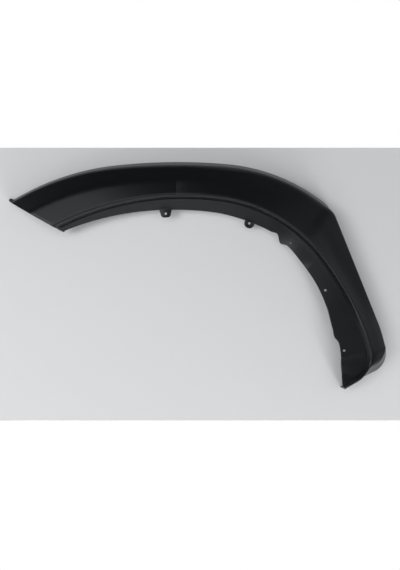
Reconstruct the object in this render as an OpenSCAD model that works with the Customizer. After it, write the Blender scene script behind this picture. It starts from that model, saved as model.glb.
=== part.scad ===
// Wheel arch trim: one plastic moulding that covers the edge of a car's wheel opening.
// It lies face up on its rim. +X is towards the rear of the car, +Y up, +Z outboard.
// The plan is two chains of tangent arcs, the edge of the opening and the rim outside it, and
// the skin is lofted between them. Angles are headings of the edge's normal: 90 is the top.

/* [Edge of the opening] */
// Radius of the arc over the top of the wheel
edge_top_r = 368; // [350:1:385]
// Radius of the arc that runs forward to the nose
edge_nose_r = 690; // [640:5:740]
// Radius of the nearly straight arc behind the wheel
edge_rear_r = 881; // [800:5:960]
// Radius of the arc down the lower leg
edge_leg_r = 383; // [360:1:410]
// Radius of the turn at the foot
edge_foot_r = 60; // [54:1:66]
// Straight run along the bottom, from the turn to the tip of the foot
foot_run = 47; // [38:1:54]
// Heading at which the top arc passes into the nose arc
nose_from = 83; // [80:0.5:86]
// Heading at which the top arc passes into the rear arc
rear_from = 37; // [35:0.5:39]
// Heading at which the rear arc passes into the leg arc
leg_from = 26; // [25:0.5:28]
// Heading at which the turn of the foot starts
foot_from = 13; // [12:0.5:14]
// Heading of the bottom's normal
foot_to = -54; // [-58:1:-50]

/* [Rim outline] */
// Width of the trim beside the top arc, from the edge to the rim
shoulder_w = 93; // [85:1:100]
// How far the rim's shoulder arc is centred behind the edge's top arc
rim_back = 26; // [20:1:32]
// How far the rim's shoulder arc is centred above the edge's top arc
rim_up = 3; // [0:1:6]
// Radius of the flat arc along the top of the rim
rim_top_r = 1420; // [1200:10:1600]
// Radius of the rim's arc down to the nose
rim_nose_r = 626; // [580:2:680]
// Heading at which the shoulder arc passes into the top arc
rim_top_from = 85; // [83:0.5:87]
// Heading at which the top arc passes into the nose arc
rim_nose_from = 96.5; // [94:0.5:99]
// Radius of the kink above the leg
kink_r = 50; // [30:1:60]
// Heading at which the kink starts
kink_from = 51.6; // [50:0.1:54]
// Heading of the straight leg's outline, where the kink ends
kink_to = 21.9; // [20:0.1:24]
// Radius of the foot's outer corner
corner_r = 52; // [44:1:58]
// Heading of the rim along the bottom
bottom_to = -63.4; // [-66:0.1:-60]
// Width of the rim beyond the edge at the tip of the foot
tip_w = 9.5; // [7.5:0.1:11]

/* [Nose] */
// Heading of the slanted cut that ends the nose
cut_heading = 150.9; // [146:0.1:155]
// Distance of that cut from the centre of the top arc
cut_gap = 87; // [80:1:95]
// Radius of the rolled edge along the cut
nose_roll = 6; // [4:0.5:8]
// Depth of the return behind the rolled edge
return_depth = 14; // [8:1:18]
// How far the locating lug stands out past the rim
lug_run = 5.5; // [4:0.5:10]
// Width of the locating lug
lug_w = 9; // [7:0.5:12]

/* [Section] */
// Wall thickness of the moulding
wall = 3; // [2.4:0.1:3.2]
// Height of the upright land that the rim stands on
land = 4; // [2:0.5:6]
// Height of the edge of the opening at the nose
edge_h_nose = 60; // [54:1:66]
// Height of the edge at the top
edge_h_top = 67; // [60:1:72]
// Height of the edge along the leg
edge_h_leg = 62; // [56:1:68]
// Height of the edge in the turn of the foot
edge_h_foot = 56; // [50:1:62]
// Height of the edge at the tip of the foot
edge_h_tip = 46; // [42:1:52]
// Radius of the rounded edge
edge_round = 4.5; // [4:0.5:6]
// Drop from the edge down to the groove beside it
drop_h = 12; // [9:0.5:14]
// Drop at the tip of the foot
drop_h_tip = 9; // [7:0.5:10]
// Plan width of that drop on the arch
drop_w = 2.5; // [2:0.5:4]
// Plan width of the drop along the lower leg
drop_w_leg = 9; // [5:0.5:10]
// Radius in the bottom of the groove
groove_r = 2; // [1.5:0.5:3]
// Height of the rim's roll at the nose
roll_h_nose = 20; // [16:1:24]
// Height of the roll over the arch
roll_h_arch = 40; // [34:1:44]
// Height of the side wall along the leg
roll_h_leg = 44; // [40:1:48]
// Plan width of the roll at the nose
roll_w_nose = 9; // [7:1:12]
// Plan width of the roll over the arch
roll_w_arch = 17; // [14:1:20]
// Plan width of the side wall along the leg
roll_w_leg = 6; // [4:0.5:9]
// Plan width of the slope at the foot's outer corner
roll_w_foot = 32; // [26:1:34]
// Radius at the top of the roll over the arch
roll_r_arch = 28; // [20:1:34]
// Radius at the top of the leg's side wall
roll_r_leg = 8; // [6:0.5:12]
// Swell of the face above a straight line at the nose, where it folds into two faces
swell_nose = 17; // [13:1:19]
// Swell of the face over the arch
swell_arch = 2; // [1:0.5:4]
// Swell of the leg's face
swell_leg = 5; // [3:0.5:6]
// Radius of the fold at the nose
fold_r_nose = 30; // [20:1:50]
// Radius of the swell on the arch and the leg
fold_r_arch = 160; // [100:5:200]

/* [Inner flange] */
// Width of the flange at the nose
flange_w_nose = 12; // [10:0.5:14]
// Width at the top
flange_w_top = 26; // [22:0.5:30]
// Width over the rear of the wheel
flange_w_rear = 29; // [26:0.5:32]
// How far the flange widens at its step
step_w = 11; // [6:0.5:14]
// Width behind the wheel
flange_w_mid = 42; // [38:0.5:46]
// Width on the leg
flange_w_leg = 66; // [62:0.5:70]
// Notch in the flange's edge above the lower screw pad
notch_w = 3.5; // [0:0.5:6]
// Width of the flange at the tip of the foot
flange_w_tip = 6; // [4:0.5:9]
// Slope of the flange at the nose and over the top
flange_slope = 56; // [50:1:60]
// Slope of the flange on the leg
flange_slope_leg = 15; // [10:1:20]

/* [Screw points] */
// Hole diameter in the tabs and in the leg
screw_d = 6; // [5:0.5:7]
// Diameter of the small hole behind the step
pin_d = 4; // [3:0.5:5]
// Heading of the front tab
tab_front_at = 94.1; // [92:0.1:97]
// Heading of the rear tab
tab_rear_at = 68.7; // [66:0.1:71]
// Distance of each tab's hole from the edge of the opening
tab_hole_in = 34.5; // [33:0.5:38]
// Radius of the rounded end of the front tab
tab_r = 9.5; // [8:0.5:11]
// Radius of the rounded end of the rear tab
tab_rear_r = 12; // [10:0.5:13]
// Width of the front tab at its root
tab_root_w = 33; // [28:1:40]
// Width of the rear tab at its root
tab_rear_root_w = 27; // [24:1:32]
// Thickness of the tabs
tab_t = 3; // [2.5:0.5:4]
// Heading of the small hole behind the step
pin_at = 49.6; // [48:0.1:51]
// Distance of the small hole from the edge of the opening
pin_in = 26.8; // [24:0.2:28]
// Heading of the upper screw hole in the leg
screw_at = 32.4; // [30:0.1:35]
// Distance of that hole from the edge
screw_in = 34.9; // [30:0.1:38]
// Heading of the lower screw hole, in its pad
pad_at = 15.4; // [14.5:0.1:17]
// Distance of the lower hole from the flange's inner edge
pad_from_end = 9; // [7:0.5:12]
// Radius of the sunk pad round the lower hole
pad_r = 16; // [12:0.5:18]
// Depth of the sunk pad
pad_sink = 1.5; // [1:0.1:2]

/* [Clip seats] */
// Width of each clip seat along the rim
seat_w = 26; // [20:1:30]
// Depth of each clip seat in from the rim
seat_d = 28; // [24:1:30]
// Height of the seats' undersides above the rim's foot
seat_z = 5; // [4:0.5:8]
// Thickness of the seats and their side walls
seat_t = 2.4; // [2:0.2:3]
// Hole diameter for the push clip
clip_d = 8.5; // [7:0.5:10]

/* [Hidden] */

// Straight stretches are arcs of this radius, so that one rule serves the whole outline
STRAIGHT = 1e6;
PLASTIC = [0.07, 0.07, 0.075];

function dir(a) = [cos(a), sin(a)];
function heading(v) = atan2(v.y, v.x);
function clamp(x, lo, hi) = min(max(x, lo), hi);
function arc_deg(length, r) = length / r * 180 / PI;

// A smooth graph through [place, value] knots, with no overshoot between them
function slot(g, x, i = 0) = i >= len(g) - 2 || x <= g[i + 1][0] ? i : slot(g, x, i + 1);
function rise(g, i) = (g[i + 1][1] - g[i][1]) / (g[i + 1][0] - g[i][0]);
function knot_rise(g, i) =
    i == 0 ? rise(g, 0)
    : i == len(g) - 1 ? rise(g, i - 1)
    : rise(g, i - 1) * rise(g, i) <= 0 ? 0
    : 2 * rise(g, i - 1) * rise(g, i) / (rise(g, i - 1) + rise(g, i));
function graph(g, x) =
    let (
        x = clamp(x, g[0][0], g[len(g) - 1][0]),
        i = slot(g, x),
        h = g[i + 1][0] - g[i][0],
        s = (x - g[i][0]) / h
    )
    g[i][1] * (1 + 2 * s) * (1 - s) * (1 - s)
    + h * knot_rise(g, i) * s * (1 - s) * (1 - s)
    + g[i + 1][1] * s * s * (3 - 2 * s)
    + h * knot_rise(g, i + 1) * s * s * (s - 1);

// The edge of the opening, as [centre, radius] arcs round the centre of the top arc
edge_nose_c = (edge_top_r - edge_nose_r) * dir(nose_from);
edge_rear_c = (edge_top_r - edge_rear_r) * dir(rear_from);
edge_leg_c = edge_rear_c + (edge_rear_r - edge_leg_r) * dir(leg_from);
edge_foot_c = edge_leg_c + (edge_leg_r - edge_foot_r) * dir(foot_from);
foot_end = edge_foot_c + edge_foot_r * dir(foot_to);

// Below foot_to the place on the edge counts millimetres along the straight bottom
function along_bottom(a) = max(foot_to - a, 0);
function edge_normal(a) = max(a, foot_to);
function edge_at(a) =
    a > nose_from ? edge_nose_c + edge_nose_r * dir(a)
    : a > rear_from ? edge_top_r * dir(a)
    : a > leg_from ? edge_rear_c + edge_rear_r * dir(a)
    : a > foot_from ? edge_leg_c + edge_leg_r * dir(a)
    : a > foot_to ? edge_foot_c + edge_foot_r * dir(a)
    : foot_end + along_bottom(a) * dir(foot_to - 90);
tip_at = foot_to - foot_run;

// The rim's outline, as [centre, radius, lowest heading, highest heading] arcs
rim_c = [rim_back, rim_up];
rim_shoulder_r = edge_top_r + shoulder_w;
rim_top_c = rim_c + (rim_shoulder_r - rim_top_r) * dir(rim_top_from);
rim_nose_c = rim_top_c + (rim_top_r - rim_nose_r) * dir(rim_nose_from);
kink_c = rim_c + (rim_shoulder_r - kink_r) * dir(kink_from);
leg_top = kink_c + kink_r * dir(kink_to);
tip_rim = edge_at(tip_at) + tip_w * dir(foot_to);
leg_run = (dir(bottom_to) * (tip_rim - leg_top + corner_r * dir(kink_to)) - corner_r)
    / (dir(bottom_to) * dir(kink_to - 90));
corner_c = leg_top + leg_run * dir(kink_to - 90) - corner_r * dir(kink_to);
bottom_top = corner_c + corner_r * dir(bottom_to);
bottom_run = norm(tip_rim - bottom_top) + corner_r;
rim_arcs = [
    [rim_nose_c, rim_nose_r, rim_nose_from, 180],
    [rim_top_c, rim_top_r, rim_top_from, rim_nose_from],
    [rim_c, rim_shoulder_r, kink_from, rim_top_from],
    [kink_c, kink_r, kink_to, kink_from],
    [leg_top - STRAIGHT * dir(kink_to), STRAIGHT, kink_to - arc_deg(leg_run, STRAIGHT), kink_to],
    [corner_c, corner_r, bottom_to, kink_to],
    [bottom_top - STRAIGHT * dir(bottom_to), STRAIGHT,
        bottom_to - arc_deg(bottom_run, STRAIGHT), bottom_to]
];

// Distance from a point inside the outline to the rim, along a heading
function arc_reach(p, h, arc) =
    let (v = p - arc[0], b = v * dir(h)) sqrt(max(b * b - v * v + arc[1] * arc[1], 0)) - b;
function on_arc(q, arc) =
    let (a = heading(q - arc[0]), slack = arc_deg(0.01, arc[1]))
    a > arc[2] - slack && a < arc[3] + slack;
function rim_reach(p, h) =
    [for (arc = rim_arcs) let (t = arc_reach(p, h, arc)) if (on_arc(p + t * dir(h), arc)) t][0];

// The nose is cut by an upright plane, and gap is a distance in from it
cut_normal = cut_heading + 90;
function cut_at(gap) =
    cut_normal - acos(-(cut_gap + gap + dir(cut_normal) * edge_nose_c) / edge_nose_r);
nose_at = cut_at(0);
// The sections turn from square to the edge into the plane of the cut over this many degrees
turn_run = 20;
turn_from = nose_at - turn_run;
function section_heading(a) =
    let (s = clamp((a - turn_from) / (nose_at - turn_from), 0, 1), n = edge_normal(a))
    n + (cut_heading - n) * s * s * (3 - 2 * s);

// Sizes of the section along the trim
kink_at = heading(kink_c);
arch_side = kink_at + 0.5;
leg_side = kink_at - 4.5;
mid_at = 35;
foot_mid = -20;
edge_h = [[tip_at, edge_h_tip], [foot_to, edge_h_foot - 3], [foot_mid, edge_h_foot],
    [leg_from, edge_h_leg], [rear_from + 20, edge_h_leg + 3], [90, edge_h_top], [nose_at, edge_h_nose]];
drop_hs = [[tip_at, drop_h_tip], [foot_to, drop_h - 1], [foot_from, drop_h], [90, drop_h]];
drop_ws = [[tip_at, drop_w], [foot_to, drop_w_leg - 2], [foot_from, drop_w_leg],
    [leg_from - 3, drop_w_leg], [leg_from + 6, drop_w], [90, drop_w]];
roll_hs = [[tip_at, edge_h_tip - 1.5], [foot_to, edge_h_foot - 5], [foot_mid, roll_h_leg],
    [leg_side, roll_h_leg], [arch_side, roll_h_arch + 2], [90, roll_h_arch - 2], [nose_at, roll_h_nose]];
roll_ws = [[tip_at, tip_w - 3], [foot_to, tip_w + 4], [foot_mid - 20, roll_w_foot - 10],
    [foot_mid, roll_w_foot], [0, roll_w_foot - 9], [foot_from, roll_w_leg * 2], [leg_from - 5, roll_w_leg],
    [leg_side, roll_w_leg], [arch_side, roll_w_arch], [90, roll_w_arch], [nose_at, roll_w_nose]];
roll_rs = [[foot_mid, roll_r_leg * 2], [leg_from, roll_r_leg], [leg_side, roll_r_leg],
    [arch_side, roll_r_arch], [95, roll_r_arch], [nose_at, roll_r_arch / 2]];
swells = [[tip_at, 0.4], [foot_to, 0.4], [foot_from, swell_arch], [leg_from + 4, swell_leg],
    [leg_side, swell_leg - 1], [arch_side, swell_arch], [90, swell_arch + 1], [nose_at, swell_nose]];
fold_rs = [[90, fold_r_arch], [105, fold_r_nose + 20], [nose_at, fold_r_nose]];
// The fold lies this share of the way from the edge to the roll
fold_share = 0.52;
step_at = 55;
flange_ws = [[foot_from, flange_w_leg], [foot_from + 6.5, flange_w_leg - notch_w],
    [foot_from + 9.5, flange_w_leg + 1], [leg_from, flange_w_leg - 3],
    [leg_from + 4, (flange_w_leg + flange_w_mid) / 2 - 3], [mid_at, flange_w_mid],
    [mid_at + 7, flange_w_mid - 3], [step_at - 5, flange_w_rear + step_w / 2],
    [step_at - 2.4, flange_w_rear + step_w - 1], [step_at + 1.6, flange_w_rear - 3],
    [step_at + 4, flange_w_rear], [70, flange_w_rear + 1], [90, flange_w_top], [100, flange_w_top - 4.5],
    [nose_at, flange_w_nose]];
flange_slopes = [[foot_from, flange_slope_leg], [28, flange_slope_leg], [42, flange_slope - 24],
    [step_at, flange_slope - 9], [65, flange_slope - 4], [90, flange_slope]];

// The flange's inner edge: square in from the edge of the opening, and below the leg a straight
// line down to the tip
foot_path = edge_foot_r * (foot_from - foot_to) * PI / 180 + foot_run;
function foot_share(a) =
    (edge_foot_r * (foot_from - max(a, foot_to)) * PI / 180 + along_bottom(a)) / foot_path;
leg_flange_end = edge_at(foot_from) - flange_w_leg * dir(foot_from);
tip_flange_end = edge_at(tip_at) + flange_w_tip * dir(leg_from + 79);
function flange_end(a) =
    a > foot_from
    ? edge_at(a) - graph(flange_ws, a) / abs(cos(section_heading(a) - a)) * dir(section_heading(a))
    : leg_flange_end + (tip_flange_end - leg_flange_end) * foot_share(a);

// A rounded corner of the section, as [point, outward normal] pairs: the skin runs p, q, r
function unit(v) = v / norm(v);
function corner(p, q, r, radius, n) =
    let (
        a = heading(q - p),
        turn = (heading(r - q) - a + 540) % 360 - 180,
        room = 0.48 * min(norm(q - p), norm(r - q)),
        side = turn < 0 ? -1 : 1,
        cut = min(radius * tan(abs(turn) / 2), room),
        bend = side * cut / tan(max(abs(turn), 0.01) / 2),
        c = q - cut * unit(q - p) - bend * dir(a - 90)
    )
    [for (i = [0 : n]) let (m = dir(a - 90 + turn * i / n)) [c + bend * m, m]];

// Steps round each rounded corner of the section
roll_n = 5;
fold_n = 3;
edge_n = 6;
groove_n = 3;

// The skin's outer face at place a, from the rim to the flange's inner edge. u is measured
// square from the edge of the opening, outwards, and z from the floor
function skin(a) =
    let (
        e = edge_at(a),
        h = section_heading(a),
        w = rim_reach(e, h) * cos(h - edge_normal(a)),
        f_vec = flange_end(a) - e,
        f = norm(f_vec) * abs(cos(heading(f_vec) - edge_normal(a))),
        top = graph(edge_h, a),
        roll_w = min(graph(roll_ws, a), w - 3),
        rim_top = [w, land],
        roll = [w - roll_w, graph(roll_hs, a)],
        edge = [0, top],
        fold_u = roll.x * fold_share,
        fold = [fold_u, roll.y + (top - roll.y) * (1 - fold_u / roll.x) + graph(swells, a)],
        groove = [-min(graph(drop_ws, a), f / 2), top - graph(drop_hs, a)],
        slope = graph(flange_slopes, a),
        end = [-f, groove.y - (f + groove.x) * tan(slope)]
    )
    concat(
        [[[w, 0], [1, 0]], [rim_top, [1, 0]]],
        corner(rim_top, roll, fold, graph(roll_rs, a), roll_n),
        corner(roll, fold, edge, graph(fold_rs, a), fold_n),
        corner(fold, edge, groove, edge_round, edge_n),
        corner(edge, groove, end, groove_r, groove_n),
        [[end, [-sin(slope), cos(slope)]]]
    );

// The skin's inner face, a wall's thickness in. At the foot the ridge beside the edge is too
// narrow to be hollow, so there it fills in level with the flange
ridge_fill = [[foot_mid - 8, 1], [foot_mid + 15, 0]];
first_roll = 2;
last_groove = first_roll + roll_n + fold_n + edge_n + groove_n + 3;
function inner_face(a, s) =
    let (
        in_ = [for (q = s) q[0] - wall * q[1]],
        top = in_[last_groove].y,
        wall_run = in_[first_roll] - in_[1],
        start = in_[1] + wall_run * min((top - in_[1].y) / wall_run.y, 1),
        filled = graph(ridge_fill, a)
    )
    [for (i = [0 : len(s) - 1])
        i < first_roll || i > last_groove ? in_[i]
        : let (t = (i - first_roll) / (last_groove - first_roll))
            in_[i] + filled * (start + (in_[last_groove] - start) * t - in_[i])];

// The return at the nose hangs in full from faces this high, and fades out lower down
return_from = 25;
function hang(z, depth) = depth * clamp(z / return_from, 0, 1);

// A point of the skin in space. A section that isn't square to the edge is stretched along itself
function stretch(a) = 1 / cos(section_heading(a) - edge_normal(a));
function place(a, u, z) =
    let (
        e = edge_at(a),
        f = heading(flange_end(a) - e),
        xy = u > 0
            ? e + u * stretch(a) * dir(section_heading(a))
            : e - u / abs(cos(f - edge_normal(a))) * dir(f)
    )
    [xy.x, xy.y, z];

// One closed loop of the wall's section in space. lower is how far the rolled nose has come
// down, and depth how deep the return hangs under it
function loop(a, lower = 0, depth = 0) =
    let (
        s = skin(a),
        top = graph(edge_h, a),
        shrink = 1 - lower / top,
        last = s[len(s) - 1],
        run = dir(heading(last[1]) + 90),
        lip = [for (t = [45, 90, 135]) last[0] + wall / 2 * ((cos(t) - 1) * last[1] + sin(t) * run)],
        inner = inner_face(a, s)
    )
    concat(
        [for (q = s) place(a, q[0].x, q[0].y * shrink)],
        [for (q = lip) place(a, q.x, q.y * shrink - hang(q.y, depth) / 2)],
        [for (i = [len(inner) - 1 : -1 : 0]) let (q = inner[i])
            place(a, q.x, q.y * shrink - hang(q.y, depth))]
    );

// The sections' places along the trim, closer together where the shape changes faster
function spaced(from, to, n) = [for (i = [0 : n - 1]) from + (to - from) * i / n];
places = concat(
    spaced(tip_at, foot_to, 5), spaced(foot_to, foot_from, 12), spaced(foot_from, leg_from, 6),
    spaced(leg_from, rear_from, 8), spaced(rear_from, leg_side - 1, 3),
    spaced(leg_side - 1, arch_side + 1, 8), spaced(arch_side + 1, step_at + 5, 9),
    spaced(step_at + 5, nose_from, 7), spaced(nose_from, cut_at(3 * nose_roll), 13),
    [cut_at(3 * nose_roll)]
);
roll_steps = [[0, 0], [15, 0], [30, 1], [45, 1], [65, 1], [90, 1]];
loops = concat(
    [for (a = places) loop(a)],
    [for (s = roll_steps)
        loop(cut_at(nose_roll * (1 - sin(s[0]))), nose_roll * (1 - cos(s[0])), return_depth * s[1])]
);

ring = len(loops[0]);
skin_n = (ring - 3) / 2;
// The end caps are strips of small faces across the wall
function cap(base, flip) =
    let (
        quads = [for (i = [0 : skin_n - 2]) [i, i + 1, ring - 2 - i, ring - 1 - i]],
        fan = [for (i = [0 : 2]) [skin_n - 1, skin_n + i, skin_n + i + 1]],
        sides = concat(
            [for (q = quads) [q[0], q[1], q[2]]], [for (q = quads) [q[0], q[2], q[3]]], fan)
    )
    [for (t = sides) let (f = flip ? [t[2], t[1], t[0]] : t) [for (i = f) base + i]];
wraps = [for (i = [0 : len(loops) - 2], j = [0 : ring - 1])
    let (k = (j + 1) % ring) [i * ring + j, i * ring + k, (i + 1) * ring + k, (i + 1) * ring + j]];
skin_faces = concat(
    [for (q = wraps) [q[0], q[1], q[2]]], [for (q = wraps) [q[0], q[2], q[3]]],
    cap(0, true), cap((len(loops) - 1) * ring, false)
);
skin_points = [for (l = loops, p = l) p];

// The origin is under the middle of the trim's outline
nose_tip = place(nose_at, skin(nose_at)[0][0].x, 0);
lug_root = [nose_tip.x, nose_tip.y] + lug_w / 2 * dir(cut_heading - 90);
lug_reach = lug_run - lug_w / 2;
lug_c = lug_root + lug_reach * dir(cut_heading);
xs = concat([for (p = skin_points) p.x], [lug_c.x - lug_w / 2]);
ys = [for (p = skin_points) p.y];
middle = [(min(xs) + max(xs)) / 2, (min(ys) + max(ys)) / 2];

// Puts a piece drawn in the section at place a: x outwards from the edge, y up, z along
module at_section(a) {
    e = edge_at(a);
    translate([e.x, e.y, 0]) rotate([0, 0, section_heading(a)]) rotate([90, 0, 0]) children();
}

// Puts a piece on the flange's outer face, a distance in from the edge, with z square out of it
function face_z(a, in_) =
    let (g = skin(a), f = g[len(g) - 1][0], slope = graph(flange_slopes, a)) f.y + (-f.x - in_) * tan(slope);
module on_flange(a, in_) {
    at_section(a)
        translate([-in_, face_z(a, in_), 0])
            rotate([0, 0, graph(flange_slopes, a)])
                rotate([-90, 0, 0])
                    children();
}

module skin_shell() {
    polyhedron(points = skin_points, faces = skin_faces, convexity = 8);
}

// A level tab on the flange's inner edge, with a rounded end. Its root lies inside the wall
tab_lift = 0.5;
tab_root = 3.5;
module tab(a, r, root_w) {
    e = edge_at(a);
    end = skin(a)[skin_n - 1][0];
    translate([e.x, e.y, end.y + tab_lift])
        rotate([0, 0, a + 180])
            difference() {
                linear_extrude(tab_t)
                    union() {
                        translate([tab_hole_in, 0]) circle(r, $fn = 48);
                        polygon([[-end.x - tab_root, -root_w / 2], [tab_hole_in, -r],
                            [tab_hole_in, r], [-end.x - tab_root, root_w / 2]]);
                    }
                translate([tab_hole_in, 0, -1]) cylinder(h = tab_t + 2, d = screw_d, $fn = 48);
            }
}

// A seat for a push clip: a shelf above the rim's foot between two upright walls, each drawn in
// the trim's section at its own place. Their outer ends lie inside the skin's wall
seat_bite = 0.62;
seat_drop = 0.8;
function rim_at(a) = let (e = edge_at(a), h = section_heading(a)) e + rim_reach(e, h) * dir(h);
function seat_side(a, side) = a + side * seat_w / 2 / norm(rim_at(a + 0.5) - rim_at(a - 0.5));
function in_wall(a, z) =
    let (s = skin(a), lip = s[1][0], roll = s[first_roll][0], t = (z - lip.y) / (roll.y - lip.y))
    lip.x + (roll.x - lip.x) * t - seat_bite * wall;
function seat_wall(a) =
    let (
        s = skin(a),
        mid = [for (i = [first_roll : last_groove]) s[i][0] - seat_bite * wall * s[i][1]],
        low = seat_z - seat_drop,
        back = in_wall(a, low) - seat_d,
        heights = [for (i = [len(mid) - 1 : -1 : 0]) [mid[i].x, mid[i].y]]
    )
    [for (q = concat([[in_wall(a, low), low]], [for (q = mid) if (q.x > back + 1) q],
            [[back, lookup(back, heights)], [back, low]]))
        [q.x * stretch(a), q.y]];
function seat_plan(a) =
    let (p = seat_side(a, -1), q = seat_side(a, 1), top = seat_z + seat_t)
    [for (c = [[p, in_wall(p, top)], [q, in_wall(q, top)],
            [q, in_wall(q, seat_z) - seat_d], [p, in_wall(p, seat_z) - seat_d]])
        let (xyz = place(c[0], c[1], 0)) [xyz.x, xyz.y]];
function seat_hole(a) = let (c = seat_plan(a)) (c[0] + c[1] + c[2] + c[3]) / 4;
module clip_seat(a) {
    for (side = [-1, 1])
        at_section(seat_side(a, side))
            linear_extrude(seat_t, center = true)
                polygon(seat_wall(seat_side(a, side)));
    difference() {
        translate([0, 0, seat_z])
            linear_extrude(seat_t)
                polygon(seat_plan(a));
        translate([seat_hole(a).x, seat_hole(a).y, 0])
            cylinder(h = seat_z + 2 * seat_t, d = clip_d, $fn = 48);
    }
}
seat_places = [107, 95, 80, 68, 56];

// The sunk pad's floor, which hangs under the flange and ends at the flange's edge
pad_in = flange_w_leg - pad_from_end;
pad_rim = 1;
pad_lift = 0.2;
module pad_floor() {
    past = (-skin(pad_at)[skin_n - 1][0].x - pad_in) / cos(flange_slope_leg);
    on_flange(pad_at, pad_in)
        translate([0, 0, -wall - pad_sink])
            linear_extrude(wall - pad_lift)
                difference() {
                    circle(pad_r + pad_rim, $fn = 64);
                    translate([pad_rim - past - 2 * pad_r, -2 * pad_r]) square([2 * pad_r, 4 * pad_r]);
                }
}

// The locating lug lies within the rim's land, with its root inside the wall
lug_lift = 0.4;
lug_tail = 10;
module lug() {
    translate([lug_root.x, lug_root.y, lug_lift])
        rotate([0, 0, cut_heading])
            linear_extrude(land - 2 * lug_lift)
                union() {
                    translate([lug_reach, 0]) circle(d = lug_w, $fn = 32);
                    translate([-lug_tail, -lug_w / 2]) square([lug_reach + lug_tail, lug_w]);
                }
}

module arch_trim() {
    color(PLASTIC)
        translate([-middle.x, -middle.y, 0])
            difference() {
                union() {
                    skin_shell();
                    tab(tab_front_at, tab_r, tab_root_w);
                    tab(tab_rear_at, tab_rear_r, tab_rear_root_w);
                    for (a = seat_places) clip_seat(a);
                    lug();
                    pad_floor();
                }
                on_flange(pin_at, pin_in) cylinder(h = 4 * wall, d = pin_d, center = true, $fn = 48);
                on_flange(screw_at, screw_in) cylinder(h = 4 * wall, d = screw_d, center = true, $fn = 48);
                on_flange(pad_at, pad_in) cylinder(h = 4 * wall, d = screw_d, center = true, $fn = 48);
                on_flange(pad_at, pad_in)
                    translate([0, 0, -pad_sink])
                        cylinder(h = 4 * wall, r = pad_r, $fn = 64);
            }
}

arch_trim();
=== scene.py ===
"""A moulded wheel arch trim lying face up on a pale floor, seen from straight above."""

import cmath
from math import acos, copysign, cos, degrees, pi, radians, sin, sqrt, tan

import bpy
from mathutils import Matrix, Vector


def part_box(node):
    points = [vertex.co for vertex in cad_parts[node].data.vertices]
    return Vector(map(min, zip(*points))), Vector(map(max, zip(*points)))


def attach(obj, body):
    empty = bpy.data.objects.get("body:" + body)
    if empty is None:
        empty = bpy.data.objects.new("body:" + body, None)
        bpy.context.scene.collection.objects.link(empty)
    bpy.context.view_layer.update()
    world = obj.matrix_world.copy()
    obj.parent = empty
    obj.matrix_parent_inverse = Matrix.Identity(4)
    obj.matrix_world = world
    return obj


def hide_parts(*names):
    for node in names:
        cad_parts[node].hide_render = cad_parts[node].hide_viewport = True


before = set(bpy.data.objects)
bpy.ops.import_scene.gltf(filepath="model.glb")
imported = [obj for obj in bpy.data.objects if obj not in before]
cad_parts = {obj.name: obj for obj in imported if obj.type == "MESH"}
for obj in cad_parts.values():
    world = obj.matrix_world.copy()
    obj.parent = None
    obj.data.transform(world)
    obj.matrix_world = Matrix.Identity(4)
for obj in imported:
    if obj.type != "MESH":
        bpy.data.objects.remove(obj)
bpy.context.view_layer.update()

# The lens stands over this point of the trim's frame, in metres
EYE = (0.0066, -0.0254, 1.150)
# Metres of floor that the frame's long side takes in
FLOOR_SPAN = 1.4421

# From here on sizes of the moulding are in millimetres and angles in degrees, as in its drawing.
# Angles are headings of the normal to the edge of the opening: 90 is the top of the arch.
MM = 0.001
STRAIGHT = 1e6

# Edge of the opening
edge_top_r, edge_nose_r, edge_rear_r, edge_leg_r, edge_foot_r = 368, 690, 881, 383, 60
foot_run = 47
nose_from, rear_from, leg_from, foot_from, foot_to = 83, 37, 26, 13, -54

# Rim outline
shoulder_w, rim_back, rim_up, rim_top_r, rim_nose_r = 93, 26, 3, 1420, 626
rim_top_from, rim_nose_from = 85, 96.5
kink_r, kink_from, kink_to = 50, 51.6, 21.9
corner_r, bottom_to, tip_w = 52, -63.4, 9.5

# Nose
cut_heading, cut_gap, nose_roll, return_depth, return_from = 150.9, 87, 6, 14, 25
turn_run = 20
lug_run, lug_w, lug_past, lug_lift, lug_tail = 5.5, 9, 0.1, 0.4, 6

# Section
wall, land = 3, 4
edge_h_nose, edge_h_top, edge_h_leg, edge_h_foot, edge_h_tip = 60, 67, 62, 56, 46
edge_round, drop_h, drop_h_tip, drop_w, drop_w_leg, groove_r = 8, 12, 9, 2.5, 9, 2
groove_ledge, groove_sink, groove_pull, groove_bead, groove_shoulder_r = 2.6, 1.0, 1.25, 1.6, 1
groove_fade_from, groove_fade_run, groove_least = -8, 20, 0.1
roll_h_nose, roll_h_arch, roll_h_leg = 20, 40, 44
roll_w_nose, roll_w_arch, roll_w_leg, roll_w_foot = 9, 17, 6, 32
roll_r_arch, roll_r_leg = 28, 8
swell_nose, swell_arch, swell_leg = 17, 2, 5
fold_r_nose, fold_r_arch, fold_share = 30, 160, 0.52

# Inner flange
flange_w_nose, flange_w_top, flange_w_rear, flange_w_mid, flange_w_leg = 12, 26, 29, 42, 66
flange_w_tip, step_w, notch_w = 6, 11, 3.5
flange_slope, flange_slope_leg = 56, 15

# Screw points
screw_d, pin_d = 6, 4
tab_front_at, tab_rear_at, tab_hole_in = 94.1, 68.7, 34.5
tab_r, tab_rear_r, tab_root_w, tab_rear_root_w, tab_t = 9.5, 12, 33, 27, 3
tab_lift, tab_root, tab_square, tab_rear_square, tab_soft = 0.5, 3.5, 4.5, 1, 0.4
pin_at, pin_in, screw_at, screw_in = 49.6, 26.8, 32.4, 34.9
pad_at, pad_from_end, pad_r, pad_sink, pad_rim, pad_lift = 15.4, 9, 16, 1.5, 1, 0.2

# Clip seats
seat_w, seat_d, seat_z, seat_t, seat_drop, seat_bite, clip_d = 26, 28, 5, 2.4, 0.8, 0.62, 8.5
seat_places = (107, 95, 80, 68, 56)


def way(a):
    """The plan direction of a heading. Plan points are complex numbers."""
    return cmath.rect(1.0, radians(a))


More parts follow.
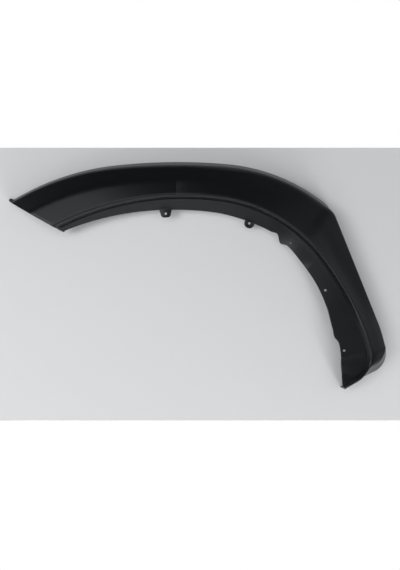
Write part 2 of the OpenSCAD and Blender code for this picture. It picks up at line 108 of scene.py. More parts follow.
def heading(v):
    return degrees(cmath.phase(v))


def dot(v, w):
    return v.real * w.real + v.imag * w.imag


def clamp(x, low, high):
    return min(max(x, low), high)


def rise(g, i):
    return (g[i + 1][1] - g[i][1]) / (g[i + 1][0] - g[i][0])


def knot_rise(g, i):
    if i == 0 or i == len(g) - 1:
        return rise(g, max(i - 1, 0))
    before, after = rise(g, i - 1), rise(g, i)
    return 0.0 if before * after <= 0 else 2 * before * after / (before + after)


def graph(g, x):
    """A smooth curve through [place, value] knots, with no overshoot between them."""
    x = clamp(x, g[0][0], g[-1][0])
    i = 0
    while i < len(g) - 2 and x > g[i + 1][0]:
        i += 1
    h = g[i + 1][0] - g[i][0]
    s = (x - g[i][0]) / h
    return (g[i][1] * (1 + 2 * s) * (1 - s) ** 2 + h * knot_rise(g, i) * s * (1 - s) ** 2
            + g[i + 1][1] * s * s * (3 - 2 * s) + h * knot_rise(g, i + 1) * s * s * (s - 1))


edge_nose_c = (edge_top_r - edge_nose_r) * way(nose_from)
edge_rear_c = (edge_top_r - edge_rear_r) * way(rear_from)
edge_leg_c = edge_rear_c + (edge_rear_r - edge_leg_r) * way(leg_from)
edge_foot_c = edge_leg_c + (edge_leg_r - edge_foot_r) * way(foot_from)
foot_end = edge_foot_c + edge_foot_r * way(foot_to)
tip_at = foot_to - foot_run


def along_bottom(a):
    """Below foot_to a place counts millimetres along the straight bottom."""
    return max(foot_to - a, 0)


def edge_normal(a):
    return max(a, foot_to)


def edge_at(a):
    """A point on the edge of the opening."""
    if a > nose_from:
        return edge_nose_c + edge_nose_r * way(a)
    if a > rear_from:
        return edge_top_r * way(a)
    if a > leg_from:
        return edge_rear_c + edge_rear_r * way(a)
    if a > foot_from:
        return edge_leg_c + edge_leg_r * way(a)
    if a > foot_to:
        return edge_foot_c + edge_foot_r * way(a)
    return foot_end + along_bottom(a) * way(foot_to - 90)


def arc_deg(length, r):
    return degrees(length / r)


def rim_outline():
    """The rim, as arcs of (centre, radius, lowest heading, highest heading)."""
    rim_c = complex(rim_back, rim_up)
    shoulder_r = edge_top_r + shoulder_w
    top_c = rim_c + (shoulder_r - rim_top_r) * way(rim_top_from)
    nose_c = top_c + (rim_top_r - rim_nose_r) * way(rim_nose_from)
    kink_c = rim_c + (shoulder_r - kink_r) * way(kink_from)
    leg_top = kink_c + kink_r * way(kink_to)
    tip_rim = edge_at(tip_at) + tip_w * way(foot_to)
    leg_run = ((dot(way(bottom_to), tip_rim - leg_top + corner_r * way(kink_to)) - corner_r)
               / dot(way(bottom_to), way(kink_to - 90)))
    corner_c = leg_top + leg_run * way(kink_to - 90) - corner_r * way(kink_to)
    bottom_top = corner_c + corner_r * way(bottom_to)
    bottom_run = abs(tip_rim - bottom_top) + corner_r
    arcs = [
        (nose_c, rim_nose_r, rim_nose_from, 180),
        (top_c, rim_top_r, rim_top_from, rim_nose_from),
        (rim_c, shoulder_r, kink_from, rim_top_from),
        (kink_c, kink_r, kink_to, kink_from),
        (leg_top - STRAIGHT * way(kink_to), STRAIGHT, kink_to - arc_deg(leg_run, STRAIGHT), kink_to),
        (corner_c, corner_r, bottom_to, kink_to),
        (bottom_top - STRAIGHT * way(bottom_to), STRAIGHT,
         bottom_to - arc_deg(bottom_run, STRAIGHT), bottom_to),
    ]
    return arcs, heading(kink_c)


rim_arcs, kink_at = rim_outline()


def rim_reach(p, h):
    """Distance from a point inside the outline to the rim, along a heading."""
    for centre, r, low, high in rim_arcs:
        v = p - centre
        b = dot(v, way(h))
        t = sqrt(max(b * b - dot(v, v) + r * r, 0)) - b
        a = heading(p + t * way(h) - centre)
        slack = arc_deg(0.01, r)
        if low - slack < a < high + slack:
            return t
    raise ValueError("no rim at heading %.1f" % h)


cut_normal = cut_heading + 90


def cut_at(gap):
    """The place of a section that lies a distance in from the cut at the nose."""
    return cut_normal - degrees(acos(-(cut_gap + gap + dot(way(cut_normal), edge_nose_c)) / edge_nose_r))


nose_at = cut_at(0)


def section_heading(a):
    s = clamp((a - nose_at + turn_run) / turn_run, 0, 1)
    return edge_normal(a) + (cut_heading - edge_normal(a)) * s * s * (3 - 2 * s)


# Sizes of the section along the trim, as [place, value] knots
arch_side = kink_at + 0.5
leg_side = kink_at - 4.5
mid_at = 35
foot_mid = -20
step_at = 55
edge_h = ((tip_at, edge_h_tip), (foot_to, edge_h_foot - 3), (foot_mid, edge_h_foot),
          (leg_from, edge_h_leg), (rear_from + 20, edge_h_leg + 3), (90, edge_h_top),
          (nose_at, edge_h_nose))
drop_hs = ((tip_at, drop_h_tip), (foot_to, drop_h - 1), (foot_from, drop_h), (90, drop_h))
drop_ws = ((tip_at, drop_w), (foot_to, drop_w_leg - 2), (foot_from, drop_w_leg),
           (leg_from - 3, drop_w_leg), (leg_from + 6, drop_w), (90, drop_w))
roll_hs = ((tip_at, edge_h_tip - 1.5), (foot_to, edge_h_foot - 5), (foot_mid, roll_h_leg),
           (leg_side, roll_h_leg), (arch_side, roll_h_arch + 2), (90, roll_h_arch - 2),
           (nose_at, roll_h_nose))
roll_ws = ((tip_at, tip_w - 3), (foot_to, tip_w + 4), (foot_mid - 20, roll_w_foot - 10),
           (foot_mid, roll_w_foot), (0, roll_w_foot - 9), (foot_from, roll_w_leg * 2),
           (leg_from - 5, roll_w_leg), (leg_side, roll_w_leg), (arch_side, roll_w_arch),
           (90, roll_w_arch), (nose_at, roll_w_nose))
roll_rs = ((foot_mid, roll_r_leg * 2), (leg_from, roll_r_leg), (leg_side, roll_r_leg),
           (arch_side, roll_r_arch), (95, roll_r_arch), (nose_at, roll_r_arch / 2))
swells = ((tip_at, 0.4), (foot_to, 0.4), (foot_from, swell_arch), (leg_from + 4, swell_leg),
          (leg_side, swell_leg - 1), (arch_side, swell_arch), (90, swell_arch + 1),
          (nose_at, swell_nose))
fold_rs = ((90, fold_r_arch), (105, fold_r_nose + 20), (nose_at, fold_r_nose))
flange_ws = ((foot_from, flange_w_leg), (foot_from + 6.5, flange_w_leg - notch_w),
             (foot_from + 9.5, flange_w_leg + 1), (leg_from, flange_w_leg - 3),
             (leg_from + 4, (flange_w_leg + flange_w_mid) / 2 - 3), (mid_at, flange_w_mid),
             (mid_at + 7, flange_w_mid - 3), (step_at - 5, flange_w_rear + step_w / 2),
             (step_at - 2.4, flange_w_rear + step_w - 1), (step_at + 1.6, flange_w_rear - 3),
             (step_at + 4, flange_w_rear), (70, flange_w_rear + 1), (90, flange_w_top),
             (100, flange_w_top - 4.5), (nose_at, flange_w_nose))
flange_slopes = ((foot_from, flange_slope_leg), (28, flange_slope_leg), (42, flange_slope - 24),
                 (step_at, flange_slope - 9), (65, flange_slope - 4), (90, flange_slope))
ridge_fill = ((foot_mid - 8, 1), (foot_mid + 15, 0))

leg_flange_end = edge_at(foot_from) - flange_w_leg * way(foot_from)
tip_flange_end = edge_at(tip_at) + flange_w_tip * way(leg_from + 79)


def flange_end(a):
    """The flange's inner edge."""
    if a > foot_from:
        h = section_heading(a)
        return edge_at(a) - graph(flange_ws, a) / abs(cos(radians(h - a))) * way(h)
    turned = radians(foot_from - edge_normal(a)) * edge_foot_r
    whole = radians(foot_from - foot_to) * edge_foot_r + foot_run
    return leg_flange_end + (tip_flange_end - leg_flange_end) * (turned + along_bottom(a)) / whole


# A corner may use up this share of the shorter stretch beside it
CORNER_SHARE = 0.48


def corner(p, q, r, radius, n):
    """A rounded corner of the section, as (point, outward normal) pairs."""
    a = heading(q - p)
    turn = (heading(r - q) - a + 540) % 360 - 180
    room = CORNER_SHARE * min(abs(q - p), abs(r - q))
    cut = min(radius * tan(radians(abs(turn) / 2)), room)
    bend = (-1 if turn < 0 else 1) * cut / tan(radians(max(abs(turn), 0.01) / 2))
    c = q - cut * (q - p) / abs(q - p) - bend * way(a - 90)
    return [(c + bend * m, m) for m in (way(a - 90 + turn * i / n) for i in range(n + 1))]


def between(p, q, n):
    """Points along a straight stretch, closer together near its ends."""
    shares = [(1 - cos(pi * i / n)) / 2 for i in range(1, n)]
    return [(p[0] + (q[0] - p[0]) * t, p[1] + (q[1] - p[1]) * t) for t in shares]


def groove_fade(a):
    """The groove dies away at the foot."""
    return clamp((a - groove_fade_from) / groove_fade_run, groove_least, 1)


# How finely a section is drawn: chords in its corners, and in the straight stretches between them
ROLL_CHORDS, FOLD_CHORDS, EDGE_CHORDS, STEP_CHORDS, SHOULDER_CHORDS = 10, 8, 10, 6, 3
PLAIN_SPANS = (4, 4, 4, 2, 13)
GROOVED_SPANS = (4, 4, 4, 2, 2, 8)
# Where in a section's line the roll starts, and where the root of the step ends
FIRST_ROLL = 2 + PLAIN_SPANS[0] - 1
LAST_GROOVE = FIRST_ROLL + ROLL_CHORDS + FOLD_CHORDS + EDGE_CHORDS + STEP_CHORDS + sum(PLAIN_SPANS[1:4])
# The bead behind the groove ends this many points past the root of the step
BEAD_PAST = 5


def section(a, grooved=False):
    """The outer face at a place, from the rim to the flange's inner edge, and where it bends.

    The real part of a point is measured square from the edge, outwards, the imaginary is height.
    With grooved, the root of the step is cut in by a fine groove, and the count of points is the same."""
    e, h, n = edge_at(a), section_heading(a), edge_normal(a)
    w = rim_reach(e, h) * cos(radians(h - n))
    f_way = flange_end(a) - e
    f = abs(f_way) * abs(cos(radians(heading(f_way) - n)))
    top = graph(edge_h, a)
    roll_w = min(graph(roll_ws, a), w - 3)
    rim_top = complex(w, land)
    roll = complex(w - roll_w, graph(roll_hs, a))
    edge = complex(0, top)
    fold_u = roll.real * fold_share
    fold = complex(fold_u, roll.imag + (top - roll.imag) * (1 - fold_share) + graph(swells, a))
    groove = complex(-min(graph(drop_ws, a), f / 2), top - graph(drop_hs, a))
    slope = graph(flange_slopes, a)
    end = complex(-f, groove.imag - (f + groove.real) * tan(radians(slope)))
    side, face = (1 + 0j), way(90 + slope)
    corners = [
        [(complex(w, 0), side), (rim_top, side)],
        corner(rim_top, roll, fold, graph(roll_rs, a), ROLL_CHORDS),
        corner(roll, fold, edge, graph(fold_rs, a), FOLD_CHORDS),
    ]
    if grooved:
        fade = groove_fade(a)
        ledge = min(-groove.real + groove_ledge * fade, 0.8 * f)
        shoulder = complex(-ledge, end.imag + (f - ledge) * tan(radians(slope)))
        root = complex(groove.real + groove_pull * fade, shoulder.imag - groove_sink * fade)
        corners += [corner(fold, edge, root, edge_round, EDGE_CHORDS),
                    corner(edge, root, shoulder, groove_r / 2, STEP_CHORDS),
                    corner(root, shoulder, end, groove_shoulder_r, SHOULDER_CHORDS)]
        spans = GROOVED_SPANS
    else:
        corners += [corner(fold, edge, groove, edge_round, EDGE_CHORDS),
                    corner(edge, groove, end, groove_r, STEP_CHORDS)]
        spans = PLAIN_SPANS
    corners.append([(end, face)])
    line = list(corners[0])
    for before, after, span in zip(corners, corners[1:], spans):
        line += between(before[-1], after[0], span) + after
    return line


def inner_line(a, line):
    """The inner face, a wall's thickness in, with a bead behind the groove.

    At the foot the ridge fills in level with the flange."""
    inner = [p - wall * n for p, n in line]
    bead_end = LAST_GROOVE + BEAD_PAST
    for i in range(LAST_GROOVE - STEP_CHORDS, bead_end):
        inner[i] -= groove_bead * groove_fade(a) * min((bead_end - i) / 2, 1) * line[i][1]
    first, last = FIRST_ROLL, LAST_GROOVE
    climb = inner[first] - inner[1]
    start = inner[1] + climb * min((inner[last].imag - inner[1].imag) / climb.imag, 1)
    filled = graph(ridge_fill, a)
    for i in range(first, last + 1):
        level = start + (inner[last] - start) * (i - first) / (last - first)
        inner[i] += filled * (level - inner[i])
    for i in range(2, first):
        inner[i] = inner[1] + (inner[first] - inner[1]) * (i - 1) / (first - 1)
    return inner


def stretch(a):
    return 1 / cos(radians(section_heading(a) - edge_normal(a)))


def place(a, u, z):
    """A point of the section in space, still in millimetres from the centre of the top arc."""
    e = edge_at(a)
    if u > 0:
        xy = e + u * stretch(a) * way(section_heading(a))
    else:
        f = heading(flange_end(a) - e)
        xy = e - u / abs(cos(radians(f - edge_normal(a)))) * way(f)
    return (xy.real, xy.imag, z)


def hang(z, depth):
    """The return at the nose hangs in full from faces above return_from, and fades out below."""
    return depth * clamp(z / return_from, 0, 1)


# The wall's end at the flange's inner edge is rounded through these angles
LIP_TURNS = (30, 60, 90, 120, 150)


def ring(a, lower=0.0, depth=0.0):
    """One closed loop of the wall. lower is how far the rolled nose has come down."""
    line = section(a)
    shrink = 1 - lower / graph(edge_h, a)
    last, face = line[-1]
    run = way(heading(face) + 90)
    lip = [last + wall / 2 * ((cos(radians(t)) - 1) * face + sin(radians(t)) * run)
           for t in LIP_TURNS]
    outer = [place(a, p.real, p.imag * shrink) for p, n in section(a, grooved=True)]
    turn = [place(a, q.real, q.imag * shrink - hang(q.imag, depth) / 2) for q in lip]
    inner = [place(a, q.real, q.imag * shrink - hang(q.imag, depth)) for q in inner_line(a, line)]
    return outer + turn + inner[::-1]


def steps(start, end, n):
    return [start + (end - start) * i / n for i in range(n)]


# The rolled nose turns down through these angles, and its return starts to hang between the two below
NOSE_TURNS = (0, 8, 15, 20, 25, 30, 40, 50, 60, 70, 80, 90)
HANG_FROM, HANG_FULL = 15, 30


def loft_rings():
    """Rings about 4 mm apart, closer at the kink and round the rolled nose."""
    roll_from = cut_at(3 * nose_roll)
    places = (steps(tip_at, foot_to, 12) + steps(foot_to, foot_from, 30) + steps(foot_from, leg_from, 22)
              + steps(leg_from, rear_from, 40) + steps(rear_from, leg_side - 1, 12)
              + steps(leg_side - 1, arch_side + 1, 22) + steps(arch_side + 1, step_at + 5, 20)
              + steps(step_at + 5, nose_from, 40) + steps(nose_from, roll_from, 90)
              + steps(roll_from, cut_at(nose_roll), 6))
    rings = [ring(a) for a in places]
    for s in NOSE_TURNS:
        round_in = nose_roll * (1 - sin(radians(s)))
        rings.append(ring(cut_at(round_in), nose_roll * (1 - cos(radians(s))),
                          return_depth * clamp((s - HANG_FROM) / (HANG_FULL - HANG_FROM), 0, 1)))
    return rings


def deselect():
    for piece in bpy.context.selected_objects:
        piece.select_set(False)


def pick(piece):
    deselect()
    piece.select_set(True)
    bpy.context.view_layer.objects.active = piece


def face_outwards(piece):
    pick(piece)
    bpy.ops.object.mode_set(mode="EDIT")
    bpy.ops.mesh.select_all(action="SELECT")
    bpy.ops.mesh.normals_make_consistent(inside=False)
    bpy.ops.object.mode_set(mode="OBJECT")


def new_piece(name, points, faces):
    mesh = bpy.data.meshes.new(name)
    mesh.from_pydata([[c * MM for c in p] for p in points], [], faces)
    piece = bpy.data.objects.new(name, mesh)
    bpy.context.collection.objects.link(piece)
    return piece


def plate(name, outline, push):
    """A flat outline of points in space, extruded by a push in millimetres."""
    piece = new_piece(name, outline, [list(range(len(outline)))])
    pick(piece)
    bpy.ops.object.mode_set(mode="EDIT")
    bpy.ops.mesh.select_all(action="SELECT")
    bpy.ops.mesh.extrude_region_move(TRANSFORM_OT_translate={"value": [c * MM for c in push]})
    bpy.ops.object.mode_set(mode="OBJECT")
    face_outwards(piece)
    return piece


def combine(piece, other, operation):
    """Cuts another piece out of this one, or fuses it on."""
    pick(piece)
    change = piece.modifiers.new(operation.lower(), "BOOLEAN")
    change.operation = operation
    change.object = other
    change.solver = "EXACT"
    bpy.ops.object.modifier_apply(modifier=change.name)
    bpy.data.objects.remove(other)


def gather(pieces):
    """Joins pieces that don't touch into one object."""
    pick(pieces[0])
    for piece in pieces[1:]:
        piece.select_set(True)
    bpy.ops.object.join()
    return pieces[0]


def loft_skin():
    rings = loft_rings()
    size = len(rings[0])
    outer = (size - len(LIP_TURNS)) // 2
    faces = []
    for i in range(len(rings) - 1):
        for j in range(size):
            k = (j + 1) % size
            faces.append([i * size + j, i * size + k, (i + 1) * size + k, (i + 1) * size + j])
    for base in (0, (len(rings) - 1) * size):
        faces += [[base + i, base + i + 1, base + size - 2 - i, base + size - 1 - i]
                  for i in range(outer - 1)]
        faces.append([base + outer - 1 + i for i in range(len(LIP_TURNS) + 2)])
    skin = new_piece("skin", [p for r in rings for p in r], faces)
    face_outwards(skin)
    return skin


def disc(r, count=48):
    return [r * way(360 * i / count) for i in range(count)]


def add_tab(a, r, root_w, square):
    """A level tab on the flange's inner edge, with a rounded end and a screw hole.

    Square is how far each of the end's two round corners lies from the tab's middle line."""
    end, face = section(a)[-1]
    root = -end.real - tab_root
    bend = r - square / 3
    round_end = [tab_hole_in + r - bend + copysign(square, t) * 1j + bend * way(t)
                 for t in list(range(-90, 0, 10)) + list(range(10, 91, 10))]
    shape = [complex(root, -root_w / 2)] + round_end + [complex(root, root_w / 2)]
    z = end.imag + tab_lift

    def level(points, height):
        return [(q.real, q.imag, height) for q in (edge_at(a) - p * way(a) for p in points)]

    tab = plate("tab", level(shape, z), (0, 0, tab_t))
    soften = tab.modifiers.new("soften", "BEVEL")
    soften.width = tab_soft * MM
    soften.segments = 2
    pick(tab)
    bpy.ops.object.modifier_apply(modifier="soften")
    hole = plate("hole", level([tab_hole_in + p for p in disc(screw_d / 2)], z - 1), (0, 0, tab_t + 2))
    combine(tab, hole, "DIFFERENCE")
    return tab


def in_wall(a, z):
    """How far out a clip seat may reach and still end inside the skin's wall."""
    line = section(a)
    lip, roll = line[1][0], line[FIRST_ROLL][0]
    return lip.real + (roll.real - lip.real) * (z - lip.imag) / (roll.imag - lip.imag) - seat_bite * wall


def seat_side(a, side):
    def rim_at(t):
        return edge_at(t) + rim_reach(edge_at(t), section_heading(t)) * way(section_heading(t))
    return a + side * seat_w / 2 / abs(rim_at(a + 0.5) - rim_at(a - 0.5))


def add_seat_wall(a):
    """An upright wall under a clip seat, in the section at a place."""
    line = section(a)
    mid = [p - seat_bite * wall * n for p, n in line[FIRST_ROLL:LAST_GROOVE + 1]]
    low = seat_z - seat_drop
    back = in_wall(a, low) - seat_d
    after = next(i for i, p in enumerate(mid) if p.real < back)
    before = mid[after - 1]
    share = (before.real - back) / (before.real - mid[after].real)
    height = before.imag + (mid[after].imag - before.imag) * share
    shape = ([complex(in_wall(a, low), low)] + [p for p in mid if p.real > back + 1]
             + [complex(back, height), complex(back, low)])
    along = way(section_heading(a) + 90) * seat_t
    points = [place(a, p.real, p.imag) for p in shape]
    points = [(x - along.real / 2, y - along.imag / 2, z) for x, y, z in points]
    return plate("seat_wall", points, (along.real, along.imag, 0))


def add_clip_seat(a):
    """A shelf above the rim's foot between two upright walls, with a hole for a push clip."""
    sides = [seat_side(a, -1), seat_side(a, 1)]
    top = seat_z + seat_t
    corners = ([place(s, in_wall(s, top), seat_z) for s in sides]
               + [place(s, in_wall(s, seat_z) - seat_d, seat_z) for s in sides[::-1]])
    centre = complex(sum(p[0] for p in corners) / 4, sum(p[1] for p in corners) / 4)
    shelf = plate("clip_seat", corners, (0, 0, seat_t))
    for s in sides:
        combine(shelf, add_seat_wall(s), "UNION")
    bore = [(q.real, q.imag, 0) for q in (centre + p for p in disc(clip_d / 2))]
    combine(shelf, plate("bore", bore, (0, 0, top + seat_t)), "DIFFERENCE")
    return shelf


def on_flange(a, in_, lift, outline):
    """Plan points round a place on the flange, on a plane lifted off its outer face."""
    slope = graph(flange_slopes, a)
    end, face = section(a)[-1]
    height = end.imag + (-end.real - in_) * tan(radians(slope))
    h = way(section_heading(a))
    c = edge_at(a) - in_ * h
    up, flat = sin(radians(slope)), cos(radians(slope))
    points = []
    for p in outline:
        q = c + h * complex(p.real * flat - lift * up, p.imag)
        points.append((q.real, q.imag, height + p.real * up + lift * flat))
    return points


def out_of_flange(a, length):
    slope = graph(flange_slopes, a)
    tilt = -way(section_heading(a)) * sin(radians(slope))
    return (tilt.real * length, tilt.imag * length, cos(radians(slope)) * length)


pad_in = flange_w_leg - pad_from_end


def add_pad_floor():
    """The sunk pad's floor hangs under the flange and ends at the flange's inner edge."""
    past = (-section(pad_at)[-1][0].real - pad_in) / cos(radians(flange_slope_leg))
    edge = [complex(max(p.real, pad_rim - past), p.imag) for p in disc(pad_r + pad_rim, 64)]
    outline = [p for i, p in enumerate(edge) if abs(p - edge[i - 1]) > 0.01]
    return plate("pad_floor", on_flange(pad_at, pad_in, -wall - pad_sink, outline),
                 out_of_flange(pad_at, wall - pad_lift))


def add_lug():
    """The locating lug lies within the rim's land, with its root inside the wall."""
    x, y, z = place(nose_at, section(nose_at)[0][0].real, 0)
    root = complex(x, y) + (lug_w / 2 + lug_past) * way(cut_heading - 90)
    reach = lug_run - lug_w / 2
    round_end = [reach + lug_w / 2 * way(t) for t in range(-90, 91, 10)]
    shape = [complex(-lug_tail, -lug_w / 2)] + round_end + [complex(-lug_tail, lug_w / 2)]
    plan = [root + p * way(cut_heading) for p in shape]
    return plate("lug", [(q.real, q.imag, lug_lift) for q in plan], (0, 0, land - 2 * lug_lift))


def flange_hole(a, in_, d):
    return plate("hole", on_flange(a, in_, -2 * wall, disc(d / 2)), out_of_flange(a, 4 * wall))


# Faces that meet at less than this angle shade as one
SMOOTH_BELOW = 32


def make_moulding():
    """The moulding is lofted finer than the solid it stands for, so that its gloss runs smoothly."""
    moulding = loft_skin()
    moulding.name = "moulding"
    grown = [
        add_tab(tab_front_at, tab_r, tab_root_w, tab_square),
        add_tab(tab_rear_at, tab_rear_r, tab_rear_root_w, tab_rear_square),
        add_lug(),
        add_pad_floor(),
    ]
    grown += [add_clip_seat(a) for a in seat_places]
    combine(moulding, gather(grown), "UNION")
    pad_cut = plate("pad_cut", on_flange(pad_at, pad_in, -pad_sink, disc(pad_r, 64)),
                    out_of_flange(pad_at, 3 * wall))
    combine(pad_cut, flange_hole(pad_at, pad_in, screw_d), "UNION")
    cuts = [pad_cut, flange_hole(pin_at, pin_in, pin_d), flange_hole(screw_at, screw_in, screw_d)]
    combine(moulding, gather(cuts), "DIFFERENCE")

    # The drawing starts from the centre of the top arc, and the trim's frame from under its middle
    corners = [Vector(p) for p in moulding.bound_box]
    own = [sum(p[i] for p in corners) / 8 for i in (0, 1)]
    low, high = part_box("arch_trim")
    shift = ((low[0] + high[0]) / 2 - own[0], (low[1] + high[1]) / 2 - own[1], 0)
    pick(moulding)
    bpy.ops.object.mode_set(mode="EDIT")
    bpy.ops.mesh.select_all(action="SELECT")
    bpy.ops.transform.translate(value=shift)
    bpy.ops.object.mode_set(mode="OBJECT")
    bpy.ops.object.shade_smooth_by_angle(angle=radians(SMOOTH_BELOW))
    moulding.data.materials.clear()
    moulding.data.materials.append(arch_plastic())
    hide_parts("arch_trim")
    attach(moulding, "root")


def place_camera():
    data = bpy.data.cameras.new("camera")
    data.sensor_width = 36.0
    data.lens = data.sensor_width * EYE[2] / FLOOR_SPAN
    data.clip_start = 0.05
    camera = bpy.data.objects.new("camera", data)
    camera.location = EYE
    bpy.context.collection.objects.link(camera)
    bpy.context.scene.camera = camera


# Square lamps hang on a dome of this radius in metres, in rings. Each ring has the angle down from
# straight overhead, the lamps' width, and each lamp's bearing from +X with its brightness, where 1 is white.
DOME_R = 3.0
RINGS = {
    "high": (24, 1.145, ((0, 1.50), (120, 2.03), (180, 1.75), (240, 0.26))),
    "upper": (45, 1.145, ((0, 0.73), (36, 0.26), (144, 0.96), (180, 6.3), (216, 0.17), (252, 1.90))),
    "lower": (66, 1.145, ((0, 0.49), (30, 0.35), (60, 0.22), (210, 0.84), (240, 0.77),
                          (270, 1.60), (300, 5.0), (330, 0.10))),
    "wall": (82, 0.731, ((0, 0.61), (30, 2.00), (300, 0.43))),
    "glint": (76, 0.36, ((40, 3.9), (80, 2.3), (100, 0.2), (208, 6.0), (222, 16.0), (282, 20.0),
                         (300, 48.0), (340, 1.5))),
}


def hang_lamp(name, down, width, bearing, brightness):
    """A soft square lamp on the dome, facing the trim."""
    data = bpy.data.lights.new(name, "AREA")
    data.shape = "SQUARE"
    data.size = width
    data.energy = brightness * width ** 2 * pi
    flat = sin(radians(down))
    out = Vector((flat * cos(radians(bearing)), flat * sin(radians(bearing)), cos(radians(down))))
    lamp = bpy.data.objects.new(name, data)
    lamp.location = out * DOME_R
    lamp.rotation_euler = (-out).to_track_quat("-Z", "Y").to_euler()
    bpy.context.collection.objects.link(lamp)


SKY_COLOUR, SKY_STRENGTH = (0.95, 0.97, 1.0, 1.0), 0.03
WHITE = (1.0, 1.0, 1.0, 1.0)


def show_to_lens(tree, common, seen, output):
    """The lens sees one shader where everything else meets the common one."""
    path = tree.nodes.new("ShaderNodeLightPath")
    mix = tree.nodes.new("ShaderNodeMixShader")
    tree.links.new(path.outputs["Is Camera Ray"], mix.inputs["Fac"])
    tree.links.new(common.outputs[0], mix.inputs[1])
    tree.links.new(seen.outputs[0], mix.inputs[2])
    tree.links.new(mix.outputs[0], output.inputs["Surface"])


def light_the_room():
    """Faint sky, white to the lens beyond the floor's edge, and the lamps."""
    world = bpy.data.worlds.new("room")
    world.use_nodes = True
    tree = world.node_tree
    background = tree.nodes["Background"]
    background.inputs["Color"].default_value = SKY_COLOUR
    background.inputs["Strength"].default_value = SKY_STRENGTH
    white = tree.nodes.new("ShaderNodeBackground")
    white.inputs["Color"].default_value = WHITE
    show_to_lens(tree, background, white, tree.nodes["World Output"])
    bpy.context.scene.world = world
    for ring_name, (down, width, lamps) in RINGS.items():
        for bearing, brightness in lamps:
            hang_lamp("%s_%d" % (ring_name, bearing), down, width, bearing, brightness)


FLOOR_COLOUR = (0.75, 0.755, 0.77, 1.0)
# The floor sheet's middle and width from top to bottom of the picture, and its length, in metres
SHEET_MIDDLE, SHEET_WIDTH, SHEET_LENGTH = -0.0231, 0.690, 1.6
# The sheet and the surround lie these small heights under the trim, so that no two faces share a plane
SHEET_Z, SURROUND_Z, SURROUND_SIZE = -0.0002, -0.0012, 9.0


def floor_paint(name):
    """Plain paint, even and matt."""
    paint = bpy.data.materials.new(name)
    paint.use_nodes = True
    shader = paint.node_tree.nodes["Principled BSDF"]
    shader.inputs["Base Color"].default_value = FLOOR_COLOUR
    shader.inputs["Roughness"].default_value = 0.65
    shader.inputs["Specular IOR Level"].default_value = 0.2
    return paint


def white_paint():
    """The surround is white to the lens, and the same pale floor to everything else."""
    paint = floor_paint("white_surround")
    tree = paint.node_tree
    glow = tree.nodes.new("ShaderNodeEmission")
    glow.inputs["Color"].default_value = WHITE
    show_to_lens(tree, tree.nodes["Principled BSDF"], glow, tree.nodes["Material Output"])
    return paint


def lay_floor():
    deselect()
    bpy.ops.mesh.primitive_plane_add(size=SURROUND_SIZE, location=(0.0, 0.0, SURROUND_Z))
    surround = bpy.context.object
    surround.name = "surround"
    surround.data.materials.append(white_paint())
    deselect()
    bpy.ops.mesh.primitive_plane_add(size=1.0, location=(EYE[0], SHEET_MIDDLE, SHEET_Z))
    sheet = bpy.context.object
    sheet.name = "floor_sheet"
    sheet.scale = (SHEET_LENGTH, SHEET_WIDTH, 1.0)
    sheet.data.materials.append(floor_paint("grey_floor"))


# The fine line that the mould left across the face. It lies at one X, and along Y it starts at the edge
# and dies away between two places. The depth is in millimetres, the rest in metres.
WITNESS_X = -0.0502
WITNESS_DEPTH, WITNESS_FADE = 3.2, 0.040
WITNESS_EDGE, WITNESS_FROM, WITNESS_TO = 0.184, 0.190, 0.235


def math_node(tree, operation, first, second):
    """A math node. Each of the two inputs is a socket or a number."""
    node = tree.nodes.new("ShaderNodeMath")
    node.operation = operation
    for i, value in enumerate((first, second)):
        if isinstance(value, (int, float)):
            node.inputs[i].default_value = value
        else:
            tree.links.new(value, node.inputs[i])
    return node.outputs[0]


def witness_height(tree, point):
    """Height in millimetres: the face drops at the line and comes back gently on its right."""
    split = tree.nodes.new("ShaderNodeSeparateXYZ")
    tree.links.new(point, split.inputs[0])
    past = math_node(tree, "SUBTRACT", split.outputs["X"], WITNESS_X)
    fade = math_node(tree, "POWER", 2.718, math_node(tree, "DIVIDE", past, -WITNESS_FADE))
    drop = math_node(tree, "MULTIPLY", math_node(tree, "GREATER_THAN", past, 0.0), fade)
    reach = tree.nodes.new("ShaderNodeMapRange")
    reach.interpolation_type = "SMOOTHSTEP"
    reach.inputs["From Min"].default_value = WITNESS_FROM
    reach.inputs["From Max"].default_value = WITNESS_TO
    reach.inputs["To Min"].default_value = -WITNESS_DEPTH
    reach.inputs["To Max"].default_value = 0.0
    tree.links.new(split.outputs["Y"], reach.inputs["Value"])
    above_edge = math_node(tree, "GREATER_THAN", split.outputs["Y"], WITNESS_EDGE)
    return math_node(tree, "MULTIPLY", math_node(tree, "MULTIPLY", drop, reach.outputs[0]), above_edge)


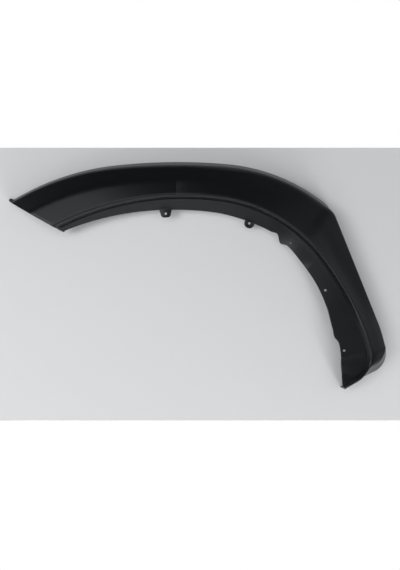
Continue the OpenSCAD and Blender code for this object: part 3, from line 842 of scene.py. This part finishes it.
def add_bump(tree, height, distance, strength):
    bump = tree.nodes.new("ShaderNodeBump")
    bump.inputs["Strength"].default_value = strength
    bump.inputs["Distance"].default_value = distance
    tree.links.new(height, bump.inputs["Height"])
    return bump


def add_noise(tree, point, scale, detail):
    noise = tree.nodes.new("ShaderNodeTexNoise")
    noise.inputs["Scale"].default_value = scale
    noise.inputs["Detail"].default_value = detail
    tree.links.new(point, noise.inputs["Vector"])
    return noise.outputs["Fac"]


PLASTIC_COLOUR = (0.0060, 0.0061, 0.0068, 1.0)
PLASTIC_GLOSS, GLOSS_TINT = 0.37, (0.90, 0.93, 1.0, 1.0)
# The gloss changes softly from place to place between these roughnesses
SMOOTHEST, ROUGHEST, PATCH_SCALE, PATCH_DETAIL = 0.27, 0.34, 30.0, 4.0
GRAIN_SCALE, GRAIN_DETAIL, GRAIN_HEIGHT, GRAIN_STRENGTH = 900.0, 3.0, 0.0002, 0.2


def arch_plastic():
    """Black moulded plastic with a fine satin grain."""
    plastic = bpy.data.materials.new("arch_plastic")
    plastic.use_nodes = True
    tree = plastic.node_tree
    shader = tree.nodes["Principled BSDF"]
    shader.inputs["Base Color"].default_value = PLASTIC_COLOUR
    shader.inputs["Specular IOR Level"].default_value = PLASTIC_GLOSS
    shader.inputs["Specular Tint"].default_value = GLOSS_TINT
    point = tree.nodes.new("ShaderNodeTexCoord").outputs["Object"]
    mottle = tree.nodes.new("ShaderNodeMapRange")
    mottle.inputs["To Min"].default_value = SMOOTHEST
    mottle.inputs["To Max"].default_value = ROUGHEST
    tree.links.new(add_noise(tree, point, PATCH_SCALE, PATCH_DETAIL), mottle.inputs["Value"])
    tree.links.new(mottle.outputs[0], shader.inputs["Roughness"])
    line = add_bump(tree, witness_height(tree, point), MM, 1.0)
    grain = add_bump(tree, add_noise(tree, point, GRAIN_SCALE, GRAIN_DETAIL), GRAIN_HEIGHT, GRAIN_STRENGTH)
    tree.links.new(line.outputs["Normal"], grain.inputs["Normal"])
    tree.links.new(grain.outputs["Normal"], shader.inputs["Normal"])
    return plastic


bpy.context.scene.view_settings.view_transform = "Standard"
place_camera()
light_the_room()
lay_floor()
make_moulding()
